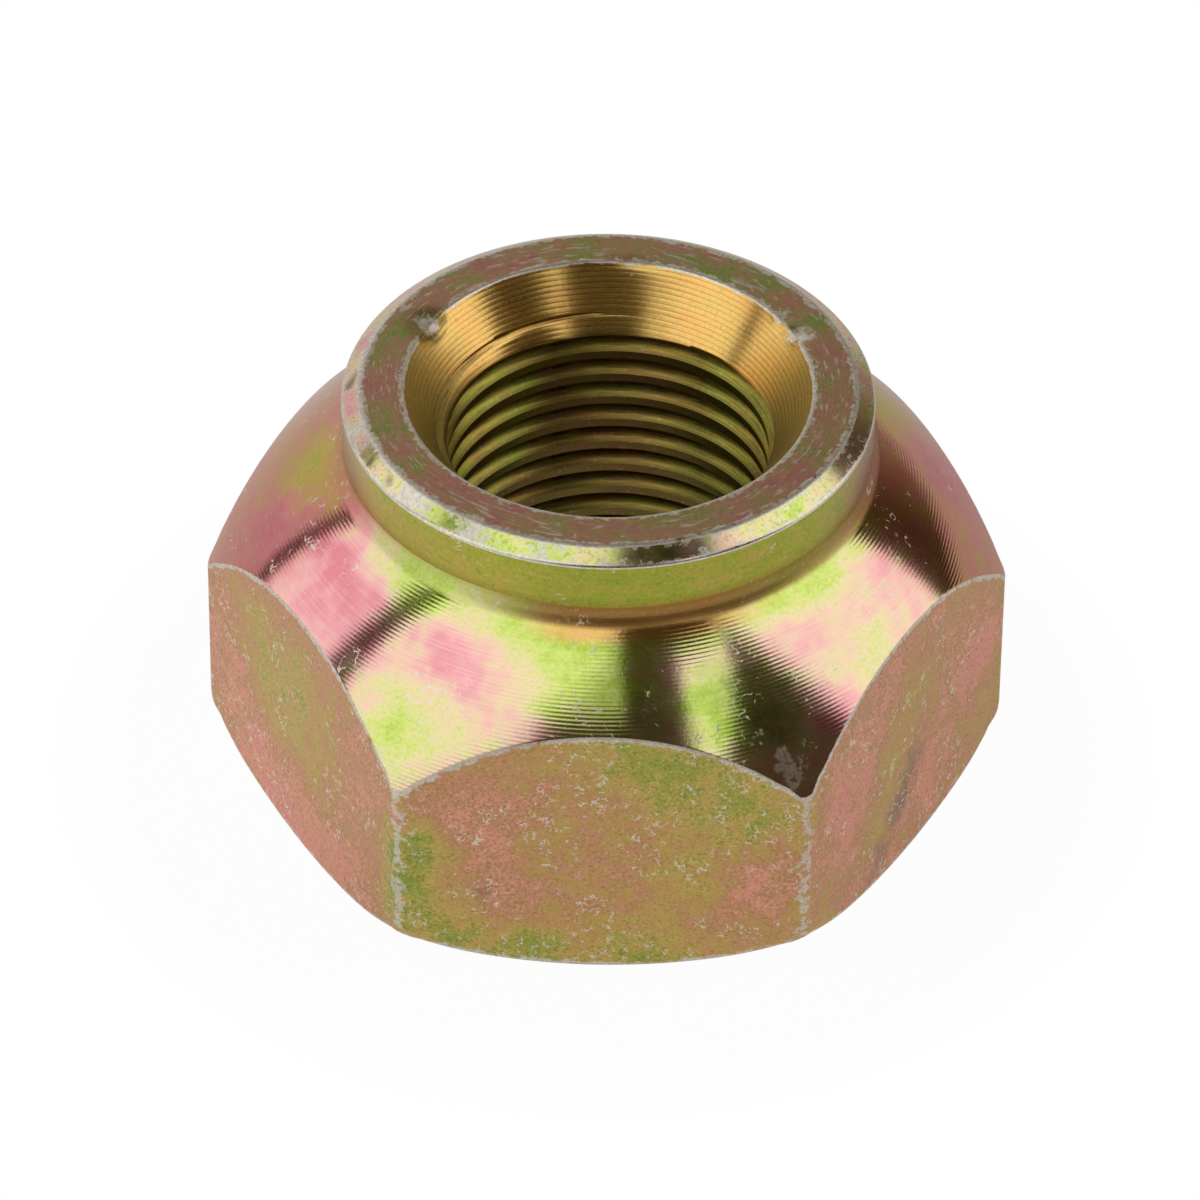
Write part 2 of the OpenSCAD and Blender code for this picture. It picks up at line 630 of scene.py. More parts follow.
class Board:
    """A node tree with one method for any node and a few short forms."""

    mix_factor = 0
    mix_colours = (6, 7)
    mix_result = 2

    def __init__(self, tree: bpy.types.NodeTree) -> None:
        """Clear a node tree and work on it."""
        self.tree = tree
        tree.nodes.clear()

    def node(
        self, kind: str, settings: dict[str, Any] | None = None, inputs: dict[Any, Any] | None = None
    ) -> Any:
        """Add a node.

        Args:
            kind: The node's type.
            settings: Properties that are set before its sockets, or a ramp's stops under the name stops.
            inputs: Values or links of its input sockets, by name or number.

        Returns:
            The node.
        """
        node = self.tree.nodes.new(kind)
        for name, value in (settings or {}).items():
            if name == "stops":
                self.set_stops(node, value)
            else:
                setattr(node, name, value)
        for name, value in (inputs or {}).items():
            self.feed(node.inputs[name], value)
        return node

    def set_stops(self, node: Any, stops: list[tuple[float, "Colour"]]) -> None:
        """Give a ramp its stops.

        Args:
            node: The ramp node.
            stops: Places from 0 to 1 and their colours, in order.
        """
        elements = node.color_ramp.elements
        while len(elements) < len(stops):
            elements.new(1.0)
        for element, (place, colour) in zip(elements, stops):
            element.position = place
            element.color = colour.rgba

    def feed(self, socket: bpy.types.NodeSocket, value: Any) -> None:
        """Link a wrapped value to a socket, or set a plain one on it.

        Args:
            socket: The input socket.
            value: A wrapped value, a colour, a number or a tuple of numbers.
        """
        if isinstance(value, Sock):
            self.tree.links.new(value.socket, socket)
        elif isinstance(value, Colour):
            socket.default_value = value.rgba
        else:
            socket.default_value = value

    def out(self, node: Any, name: str | int) -> Sock:
        """Wrap an output of a node."""
        return Sock(self, node.outputs[name])

    def math(self, operation: str, a: Sock | Number, b: Sock | Number | None = None) -> Sock:
        """Add a Math node and return its value."""
        inputs = {0: a} if b is None else {0: a, 1: b}
        return self.out(self.node("ShaderNodeMath", {"operation": operation}, inputs), 0)

    def vector(self, operation: str, a: Any, b: Any, output: str = "Vector") -> Sock:
        """Add a Vector Math node and return one of its outputs."""
        return self.out(self.node("ShaderNodeVectorMath", {"operation": operation}, {0: a, 1: b}), output)

    def blend(self, factor: Sock | Number, a: Any, b: Any) -> Sock:
        """Mix two colours: a where the factor is 0 and b where it is 1."""
        inputs = {self.mix_factor: factor, **dict(zip(self.mix_colours, (a, b)))}
        return self.out(self.node("ShaderNodeMix", {"data_type": "RGBA"}, inputs), self.mix_result)

    def ramp(self, factor: Sock, stops: list[tuple[float, "Colour"]]) -> Sock:
        """Return the colour of a ramp at a value."""
        return self.out(self.node("ShaderNodeValToRGB", {"stops": stops}, {"Fac": factor}), "Color")

    def noise(self, place: Sock, scale: float, detail: float = 2.0, roughness: float = 0.5) -> Sock:
        """Return fractal noise at a place in millimetres, about 0 to 1."""
        inputs = {"Vector": place, "Scale": scale, "Detail": detail, "Roughness": roughness}
        return self.out(self.node("ShaderNodeTexNoise", {"noise_dimensions": "3D"}, inputs), 0)


@dataclass(frozen=True)
class Colour:
    """A colour in linear light."""

    r: float
    g: float
    b: float

    @property
    def rgba(self) -> tuple[float, float, float, float]:
        """Return the colour with full alpha."""
        return self.r, self.g, self.b, 1.0


def film_ramp(*stops: tuple[float, float, float, float]) -> list[tuple[float, Colour]]:
    """Return a film's ramp from places on it and their colours in linear light."""
    return [(place, Colour(*rgb)) for place, *rgb in stops]


# Rows hold a place on the ramp, from thin to thick, and red, green and blue there
SATIN_FILM = film_ramp(
    (0.0, 0.34, 0.42, 0.08),
    (0.2, 0.47, 0.45, 0.10),
    (0.38, 0.65, 0.48, 0.14),
    (0.56, 0.66, 0.40, 0.15),
    (0.72, 0.68, 0.35, 0.20),
    (0.9, 0.84, 0.40, 0.25),
    (1.0, 0.85, 0.37, 0.29),
)
GLOSS_FILM = film_ramp(
    (0.0, 0.45, 0.62, 0.08),
    (0.25, 0.65, 0.76, 0.19),
    (0.45, 0.82, 0.72, 0.36),
    (0.6, 0.90, 0.62, 0.45),
    (0.8, 0.91, 0.42, 0.44),
    (1.0, 0.80, 0.27, 0.30),
)
GOLD_FILM = film_ramp(
    (0.0, 0.66, 0.64, 0.10),
    (0.35, 0.90, 0.60, 0.17),
    (0.65, 0.96, 0.55, 0.16),
    (1.0, 0.92, 0.40, 0.14),
)
BRONZE_FILM = film_ramp(
    (0.0, 0.40, 0.43, 0.06),
    (0.35, 0.47, 0.36, 0.07),
    (0.6, 0.46, 0.30, 0.07),
    (0.8, 0.52, 0.28, 0.09),
    (1.0, 0.74, 0.40, 0.13),
)
DEEP_FILM = film_ramp(
    (0.0, 0.40, 0.44, 0.05),
    (0.3, 0.62, 0.46, 0.09),
    (0.5, 0.68, 0.38, 0.15),
    (0.7, 0.76, 0.28, 0.25),
    (1.0, 0.70, 0.20, 0.23),
)
OLIVE_FILM = film_ramp(
    (0.0, 0.30, 0.43, 0.04),
    (0.25, 0.43, 0.46, 0.06),
    (0.45, 0.56, 0.44, 0.09),
    (0.65, 0.54, 0.36, 0.17),
    (0.85, 0.58, 0.36, 0.25),
    (1.0, 0.56, 0.30, 0.20),
)
END_FILM = film_ramp(
    (0.0, 0.28, 0.38, 0.08),
    (0.3, 0.40, 0.36, 0.13),
    (0.55, 0.52, 0.32, 0.17),
    (0.8, 0.55, 0.28, 0.19),
    (1.0, 0.57, 0.23, 0.20),
)
WHITE = Colour(1.0, 1.0, 1.0)
PAPER = Colour(0.9, 0.9, 0.9)
PALE_ZINC = Colour(0.92, 0.86, 0.74)
BARE_ZINC = Colour(0.90, 0.85, 0.76)
DULL_ZINC = Colour(0.68, 0.62, 0.53)
DARK_PIT = Colour(0.14, 0.10, 0.06)
# Dark smudges: real grime on the hex flats, painted shade on the ball seat where it mirrors dark bands of
# the studio
DIRT_AND_SHADE = Colour(0.16, 0.15, 0.11)
# Painted shade in the crease where the collar meets the ball
NECK_SHADE_BROWN = Colour(0.31, 0.14, 0.035)
NECK_ORANGE = Colour(0.88, 0.42, 0.15)
# Dark of the bore: painted shade in the ring grooves, on the thread's crests and down the bore, and real
# dark tool lines in the thread
BORE_DIRT_AND_SHADE = Colour(0.10, 0.075, 0.028)
# Painted shade on the front half of the upper countersink, near its mouth
CONE_SHADE = Colour(0.27, 0.25, 0.07)


@dataclass(frozen=True)
class Spot:
    """A round patch on the skin.

    Attributes:
        azimuth: Degrees from the front towards the right.
        radius: Distance from the axis in millimetres.
        height: Height in millimetres.
        size: Reach in millimetres.
        amount: What it adds at its middle.
    """

    azimuth: float
    radius: float
    height: float
    size: float
    amount: float

    @property
    def centre(self) -> tuple[float, float, float]:
        """Return its middle in millimetres."""
        return around_axis(self.azimuth, self.radius, self.height)


@dataclass(frozen=True)
class Scratch:
    """A straight scratch between two points in millimetres."""

    start: tuple[float, float, float]
    end: tuple[float, float, float]
    width: float


class SkinPlaces:
    """Places on the nut's skin, worked out from Object coordinates in millimetres."""

    seed_way = (1.0, -0.7, 0.4)
    streak_noise = (1.0, 2.0, 0.6)
    scratch_core = 0.3

    def __init__(self, board: Board, form: NutForm) -> None:
        """Measure the place.

        Args:
            board: The board to work on.
            form: The nut's sizes.
        """
        self.board = board
        self.form = form
        coords = board.out(board.node("ShaderNodeTexCoord"), "Object")
        self.place = board.vector("MULTIPLY", coords, 3 * (1 / MM,))
        split = board.node("ShaderNodeSeparateXYZ", {}, {0: self.place})
        self.x = board.out(split, "X")
        self.y = board.out(split, "Y")
        self.z = board.out(split, "Z")
        self.r = (self.x * self.x + self.y * self.y).root()

    def shifted(self, seed: float) -> Sock:
        """Return the place moved by a seed, so that patterns differ."""
        return self.board.vector("ADD", self.place, tuple(seed * way for way in self.seed_way))

    def warped(self, seed: float, scale: float, reach: float) -> Sock:
        """Return the place pushed about by noise, which makes round spots ragged.

        Args:
            seed: What sets this pattern apart.
            scale: The noise's scale per millimetre.
            reach: How far a place is pushed at most, in millimetres.

        Returns:
            The pushed place.
        """
        board = self.board
        inputs = {"Vector": self.shifted(seed), "Scale": scale, "Detail": 1.0}
        cloud = board.out(board.node("ShaderNodeTexNoise", {}, inputs), 1)
        middle = board.vector("SUBTRACT", cloud, 3 * (NOISE_MIDDLE,))
        push = board.vector("MULTIPLY", middle, 3 * (reach / NOISE_MIDDLE,))
        return board.vector("ADD", self.place, push)

    def hex_distances(self) -> tuple[Sock, Sock]:
        """Measure the distances to the nearest and the second nearest hex flat.

        Returns:
            Both distances in millimetres.
        """
        c, s = math.cos(SECTOR / 2), math.sin(SECTOR / 2)
        one = abs(self.y)
        two = abs(self.x * c + self.y * s)
        three = abs(self.x * c - self.y * s)
        top = one.most(two).most(three)
        low = one.least(two).least(three)
        middle = one + two + three - top - low
        apothem = self.form.apothem
        return apothem - top, (apothem - middle) / math.sin(SECTOR)

    def ball_distance(self) -> Sock:
        """Return how deep the place lies under the ball."""
        up = self.z - self.form.seat_centre_z
        return self.form.seat_r - (self.r * self.r + up * up).root()

    def seat_arc(self) -> Sock:
        """Return the length along the ball from its pole."""
        up = self.z - self.form.seat_centre_z
        return self.board.math("ARCTAN2", self.r, up) * self.form.seat_r

    def chamfer_height(self) -> Sock:
        """Return the height above the chamfer of the outer face."""
        slope = math.tan(math.radians(self.form.face_chamfer_angle))
        return self.z - (self.r - self.form.face_r) * slope

    def streaks(self, along: Sock, per_turn: float, per_mm: float) -> Sock:
        """Return noise drawn out around the axis, as a turning tool leaves it.

        Args:
            along: The length along the section in millimetres.
            per_turn: How fast it changes around the axis.
            per_mm: How fast it changes along the section.

        Returns:
            The noise, about 0 to 1.
        """
        board = self.board
        around = {"X": self.x / self.r * per_turn, "Y": self.y / self.r * per_turn, "Z": along * per_mm}
        place = board.out(board.node("ShaderNodeCombineXYZ", {}, around), 0)
        return board.noise(place, *self.streak_noise)

    def spot(self, spot: Spot, place: Sock) -> Sock:
        """Return a soft round patch: its amount at the spot's middle and 0 beyond its size."""
        return self.board.vector("DISTANCE", place, spot.centre, "Value").rise(spot.size, 0.0, spot.amount)

    def scratch(self, line: Scratch, place: Sock) -> Sock:
        """Return a scratch: 1 on the line from its start to its end, 0 beyond its width.

        Args:
            line: The scratch.
            place: The place to test.

        Returns:
            The mask.
        """
        board = self.board
        way = Vector(line.end) - Vector(line.start)
        off = board.vector("SUBTRACT", place, line.start)
        along = board.vector("DOT_PRODUCT", off, tuple(way / way.length_squared), "Value")
        share = along.most(0.0).least(1.0)
        shares = board.out(board.node("ShaderNodeCombineXYZ", {}, dict.fromkeys("XYZ", share)), 0)
        step = board.vector("MULTIPLY", shares, tuple(way))
        return board.vector("DISTANCE", off, step, "Value").rise(line.width, self.scratch_core * line.width)


class Layer(IntEnum):
    """Patterns in a finish, each with its own multiple of the finish's seed."""

    GRAIN = 2
    CURL = 3
    DASH = 4
    MOTTLE = 5
    CHIP = 6


@dataclass(frozen=True)
class PlatedFinish:
    """Yellow chromate over zinc. Each zone sets its own film, wear and tool marks.

    Attributes:
        name: The material's name.
        seed: What sets its patterns apart.
        ramp: Colours of the film from thin to thick.
        roughness: Mean roughness.
        film_mean: Mean place on the ramp.
        film_spread: How far broad clouds move the film.
        film_scale: Scale of the clouds per millimetre.
        warp_reach: How far stains and clouds are pushed about, in millimetres.
        mottle_film: How far mottles of about a millimetre move the film.
        grain_scale: Scale of the grain per millimetre.
        grain_film: How far the grain moves the film.
        grain_depth: Height of the grain in millimetres.
        pit_share: How dark the grain's pits are.
        fleck_share: How pale the grain's tips are.
        speck_level: Level of the clouds above which pale specks show.
        speck_scale: Scale of the specks per millimetre.
        speck_width: Width of the specks, as a share of their noise.
        wear_width: Width of the worn edges in millimetres.
        wear_ragged: How ragged the worn edges are.
        ring_pitch: Pitch of the turned rings in millimetres.
        ring_depth: Height of the rings in millimetres.
        streak_film: How far turned streaks move the film.
        streak_per_mm: How fine the streaks are along the section.
        streak_per_turn: How fine they are around the axis.
        bare_rough: What bare zinc adds to the roughness.
        rub_share: How bare the rubbed spots are.
        stains: Spots that move the film.
        rubs: Spots that are rubbed bare.
        scuffs: Spots with more pale specks.
        dirt_and_shade_spots: Dark smudges, and on the ball seat spots of painted shade.
        scratches: Lines scratched bare.
    """

    name: str
    seed: float
    ramp: list[tuple[float, Colour]]
    roughness: float
    film_mean: float
    film_spread: float = 1.0
    film_scale: float = 0.12
    warp_reach: float = 1.0
    mottle_film: float = 0.25
    grain_scale: float = 4.5
    grain_film: float = 0.35
    grain_depth: float = 0.004
    pit_share: float = 0.25
    fleck_share: float = 0.2
    speck_level: float = 0.62
    speck_scale: float = 2.2
    speck_width: float = 0.05
    wear_width: float = 0.3
    wear_ragged: float = 2.2
    ring_pitch: float = 0.226
    ring_depth: float = 0.0
    streak_film: float = 0.0
    streak_per_mm: float = 5.0
    streak_per_turn: float = 2.5
    bare_rough: float = 0.12
    rub_share: float = 1.0
    stains: tuple[Spot, ...] = ()
    rubs: tuple[Spot, ...] = ()
    scuffs: tuple[Spot, ...] = ()
    dirt_and_shade_spots: tuple[Spot, ...] = ()
    scratches: tuple[Scratch, ...] = ()

    # What all zones share: scale, detail and roughness of noises, and where soft steps start and end
    warp_scale = 0.6
    grain_detail = (3.0, 0.65)
    chip_noise = (2.0, 2.0, 0.65)
    patch_noise = (0.35, 2.0, 0.6)
    mottle_noise = (0.8, 1.0, 0.6)
    curl_detail = (1.0, 0.5)
    dash_noise = (1.9, 0.0, 0.5)
    dash_reach = (0.52, 0.6)
    speck_grain = (0.38, 0.48)
    cluster_edge = 0.1
    speck_share = 0.8
    pit_reach = (0.52, 0.28)
    fleck_reach = (0.60, 0.70)
    zinc_reach = (0.36, 0.62)
    zinc_share = 0.9
    rub_ragged = 1.6
    rub_reach = (0.4, 0.7)
    core = 0.5
    dark_spot_floor = 0.5
    ring_floor = 0.4
    patch_rough = 0.12

    def along(self, skin: SkinPlaces) -> Sock:
        """Return the length along the section, for turned marks."""
        return skin.r

    def edge_wear(self, skin: SkinPlaces, ragged: Sock) -> Sock:
        """Return where the edges are rubbed bare: along the hex flats, unless the zone has its own."""
        return self.rub(skin.hex_distances()[0], self.wear_width, ragged)

    def drift(self, skin: SkinPlaces) -> Sock | None:
        """Return what the zone adds to the film along its section, or nothing."""
        return None

    def rub(self, distance: Sock, width: float, ragged: Sock) -> Sock:
        """Return 1 within a ragged width of an edge and 0 beyond it."""
        away = distance + (ragged - NOISE_MIDDLE) * (self.wear_ragged * width)
        return away.rise(width, self.core * width)

    def tint(self, skin: SkinPlaces, film: Sock) -> Sock:
        """Return the film's colour."""
        return skin.board.ramp(film, self.ramp)

    def shade(self, skin: SkinPlaces, tint: Sock) -> Sock:
        """Return the film's colour with the zone's own marks and painted shade over it."""
        return tint

    def haze(self, skin: SkinPlaces) -> Sock | None:
        """Return what the zone adds to its roughness, or nothing."""
        return None

    def rings(self, skin: SkinPlaces) -> Sock:
        """Return the turned rings: a sine of the length along the section."""
        return (self.along(skin) * (2 * math.pi / self.ring_pitch)).sine()

    def film(self, skin: SkinPlaces, warped: Sock, grain: Sock, streaks: Sock) -> Sock:
        """Work out the film's place on the ramp.

        It is the mean plus clouds, mottles, grain, streaks, the zone's drift and its stains.

        Args:
            skin: Places on the skin.
            warped: The place pushed about.
            grain: The grain's noise.
            streaks: The streaks' noise.

        Returns:
            The place on the ramp.
        """
        board = skin.board
        clouds = board.noise(board.vector("ADD", warped, (self.seed, 0.0, -self.seed)), self.film_scale)
        mottle = board.noise(skin.shifted(Layer.MOTTLE * self.seed), *self.mottle_noise)
        film = self.film_mean + (clouds - NOISE_MIDDLE) * self.film_spread
        film = film + (mottle - NOISE_MIDDLE) * self.mottle_film
        film = film + (grain - NOISE_MIDDLE) * self.grain_film
        film = film + (streaks - NOISE_MIDDLE) * self.streak_film
        drift = self.drift(skin)
        if drift is not None:
            film = film + drift
        for stain in self.stains:
            film = film + skin.spot(stain, warped)
        return film

    def specks(self, skin: SkinPlaces, grain: Sock, patch: Sock) -> Sock:
        """Lay out pale curls: short stretches of a noise's middle contour, in clusters.

        Args:
            skin: Places on the skin.
            grain: The grain's noise.
            patch: Clouds that say where the clusters are.

        Returns:
            The mask of the curls.
        """
        curl = skin.board.noise(skin.shifted(Layer.CURL * self.seed), self.speck_scale, *self.curl_detail)
        dash = skin.board.noise(skin.shifted(Layer.DASH * self.seed), *self.dash_noise)
        line = abs(curl - NOISE_MIDDLE).rise(self.speck_width, self.core * self.speck_width)
        cluster = patch.rise(self.speck_level, self.speck_level + self.cluster_edge)
        return line * dash.rise(*self.dash_reach) * cluster * grain.rise(*self.speck_grain)

    def bare(self, skin: SkinPlaces, warped: Sock, chip: Sock) -> Sock:
        """Lay out where worn edges, rubbed spots and scratches show bare zinc.

        Args:
            skin: Places on the skin.
            warped: The place pushed about.
            chip: The noise that makes wear ragged.

        Returns:
            The mask of the bare zinc.
        """
        worn = self.edge_wear(skin, chip)
        for rubbed in self.rubs:
            reach = skin.spot(rubbed, warped) + (chip - NOISE_MIDDLE) * self.rub_ragged
            worn = worn.most(reach.rise(*self.rub_reach, self.rub_share))
        for line in self.scratches:
            worn = worn.most(skin.scratch(line, warped))
        return worn

    def make(self, form: NutForm) -> bpy.types.Material:
        """Make the material.

        The film's place on the ramp gives its colour. Pale specks and bare zinc lie over it.

        Args:
            form: The nut's sizes.

        Returns:
            The material.
        """
        material = bpy.data.materials.new(self.name)
        material.use_nodes = True
        board = Board(material.node_tree)
        skin = SkinPlaces(board, form)
        warped = skin.warped(self.seed, self.warp_scale, self.warp_reach)
        grain = board.noise(skin.shifted(Layer.GRAIN * self.seed), self.grain_scale, *self.grain_detail)
        chip = board.noise(skin.shifted(Layer.CHIP * self.seed), *self.chip_noise)
        patch = board.noise(warped, *self.patch_noise)
        scuffed = patch
        for scuff in self.scuffs:
            scuffed = scuffed + skin.spot(scuff, warped)
        streaks = skin.streaks(self.along(skin), self.streak_per_turn, self.streak_per_mm)

        tint = self.shade(skin, self.tint(skin, self.film(skin, warped, grain, streaks)))
        colour = board.blend(grain.rise(*self.pit_reach) * self.pit_share, tint, DARK_PIT)
        # Dark spots: grime, and on the ball seat painted shade
        for dark_spot in self.dirt_and_shade_spots:
            darkening = skin.spot(dark_spot, warped) * (chip + self.dark_spot_floor)
            colour = board.blend(darkening, colour, DIRT_AND_SHADE)
        specks = self.specks(skin, grain, scuffed)
        flecks = grain.rise(*self.fleck_reach) * self.fleck_share
        colour = board.blend((specks * self.speck_share).most(flecks), colour, PALE_ZINC)
        worn = self.bare(skin, warped, chip)
        zinc = board.blend(grain.rise(*self.zinc_reach), BARE_ZINC, DULL_ZINC)
        colour = board.blend(worn * self.zinc_share, colour, zinc)
        roughness = self.roughness + (patch - NOISE_MIDDLE) * self.patch_rough
        roughness = roughness + worn.most(specks) * self.bare_rough
        haze = self.haze(skin)
        if haze is not None:
            roughness = roughness + haze

        relief = grain * self.grain_depth
        if self.ring_depth > 0:
            relief = relief + self.rings(skin) * (streaks + self.ring_floor) * self.ring_depth
        bump = board.node("ShaderNodeBump", {}, {"Height": relief, "Distance": MM, "Strength": 1.0})
        inputs = {
            "Base Color": colour,
            "Metallic": 1.0,
            "Roughness": roughness,
            "Normal": board.out(bump, "Normal"),
        }
        shader = board.node("ShaderNodeBsdfPrincipled", {}, inputs)
        board.node("ShaderNodeOutputMaterial", {}, {"Surface": board.out(shader, "BSDF")})
        return material


class HexFlatFinish(PlatedFinish):
    """Satin bar stock, speckled and rubbed bright on its edges."""

    foot_wear = 0.3
    corner_wear = 0.38
    corner_core = 0.6
    corner_ragged = 5.0
    corner_share = 0.85

    def edge_wear(self, skin: SkinPlaces, ragged: Sock) -> Sock:
        """Lay out wear along the seat's edge, the hex corners and the lower edge.

        Args:
            skin: Places on the skin.
            ragged: The noise that makes wear ragged.

        Returns:
            The mask of the wear.
        """
        away = skin.hex_distances()[1] + (ragged - NOISE_MIDDLE) * (self.corner_ragged * self.corner_wear)
        corner = away.rise(self.corner_wear, self.corner_core * self.corner_wear, self.corner_share)
        lower = self.rub(skin.chamfer_height(), self.foot_wear, ragged)
        return corner.most(lower).most(self.rub(skin.ball_distance(), self.wear_width, ragged))


class BallSeatFinish(PlatedFinish):
    """A glossy turned ball with fine tool rings, thinner in its film towards the neck."""

    neck_reach = (16.6, 15.2)
    neck_front = (-2.0, -9.0)
    neck_film = -0.35
    deep_reach = (-8.0, -4.5)
    neck_line = (14.95, 14.6)
    neck_left = (-8.0, -2.5)
    neck_shade_share = 0.72
    neck_haze = 0.3
    glow_line = (15.7, 15.1)
    glow_left = (-5.0, -1.5)
    glow_right = (10.0, 5.0)
    glow_share = 0.75

    def drift(self, skin: SkinPlaces) -> Sock:
        """Return the thinner film towards the neck."""
        return skin.r.rise(*self.neck_reach) * skin.y.rise(*self.neck_front) * self.neck_film

    def tint(self, skin: SkinPlaces, film: Sock) -> Sock:
        """Return the film's colour, deeper at the sides and behind."""
        plain, deep = skin.board.ramp(film, self.ramp), skin.board.ramp(film, DEEP_FILM)
        return skin.board.blend(skin.y.rise(*self.deep_reach), plain, deep)

    def shade(self, skin: SkinPlaces, tint: Sock) -> Sock:
        """Lay painted shade in a brown line in the neck, and orange below it in front, over the film.

        Args:
            skin: Places on the skin.
            tint: The film's colour.

        Returns:
            The colour.
        """
        glow = skin.r.rise(*self.glow_line, self.glow_share) * skin.x.rise(*self.glow_left)
        # Painted shade in the neck's crease, fading out towards the left, where the light falls on it
        line = skin.r.rise(*self.neck_line, self.neck_shade_share) * skin.x.rise(*self.neck_left)
        glowing = skin.board.blend(glow * skin.x.rise(*self.glow_right), tint, NECK_ORANGE)
        return skin.board.blend(line, glowing, NECK_SHADE_BROWN)

    def haze(self, skin: SkinPlaces) -> Sock:
        """Return the duller neck."""
        return skin.r.rise(*self.neck_line, self.neck_haze)

    def along(self, skin: SkinPlaces) -> Sock:
        """Return the length along the ball."""
        return skin.seat_arc()


class CollarFinish(PlatedFinish):
    """A smooth turned collar, olive in front, with painted shade in a brown line at its foot."""

    front_reach = (-3.0, -8.5)
    front_film = -0.44
    foot_reach = 0.9
    foot_shade_share = 0.5

    def drift(self, skin: SkinPlaces) -> Sock:
        """Return the thinner film of the front."""
        return skin.y.rise(*self.front_reach) * self.front_film

    def edge_wear(self, skin: SkinPlaces, ragged: Sock) -> Sock:
        """Return wear below the rim's chamfer."""
        return self.rub((skin.form.height - skin.form.rim_chamfer_h) - skin.z, self.wear_width, ragged)

    def along(self, skin: SkinPlaces) -> Sock:
        """Return the height."""
        return skin.z

    def shade(self, skin: SkinPlaces, tint: Sock) -> Sock:
        """Return the film's colour, with painted shade in a brown line around the collar's foot."""
        foot = skin.form.neck_centre[1]
        return skin.board.blend(skin.z.rise(foot + self.foot_reach, foot, self.foot_shade_share), tint, NECK_SHADE_BROWN)


class RimFinish(PlatedFinish):
    """A bright worn chamfer on the collar's rim."""

    def edge_wear(self, skin: SkinPlaces, ragged: Sock) -> Sock:
        """Return wear along the chamfer's two edges."""
        inner = skin.r - (skin.form.collar_r - skin.form.rim_chamfer_w)
        return self.rub((skin.form.collar_r - skin.r).least(inner), self.wear_width, ragged)


class TopFinish(PlatedFinish):
    """The faced end of the collar, rubbed along both of its edges."""

    arc_per_turn = 11.0
    arc_per_mm = 5.0
    arc_reach = (0.56, 0.64)
    arc_share = 0.6

    def edge_wear(self, skin: SkinPlaces, ragged: Sock) -> Sock:
        """Return wear along the chamfer and the mouth of the bore."""
        outer = (skin.form.collar_r - skin.form.rim_chamfer_w) - skin.r
        return self.rub(outer.least(skin.r - skin.form.collar_mouth_r), self.wear_width, ragged)

    def specks(self, skin: SkinPlaces, grain: Sock, patch: Sock) -> Sock:
        """Return pale arcs drawn out around the axis, in clusters."""
        arcs = skin.streaks(skin.r, self.arc_per_turn, self.arc_per_mm).rise(*self.arc_reach)
        return arcs * patch.rise(self.speck_level, self.speck_level + self.cluster_edge, self.arc_share)


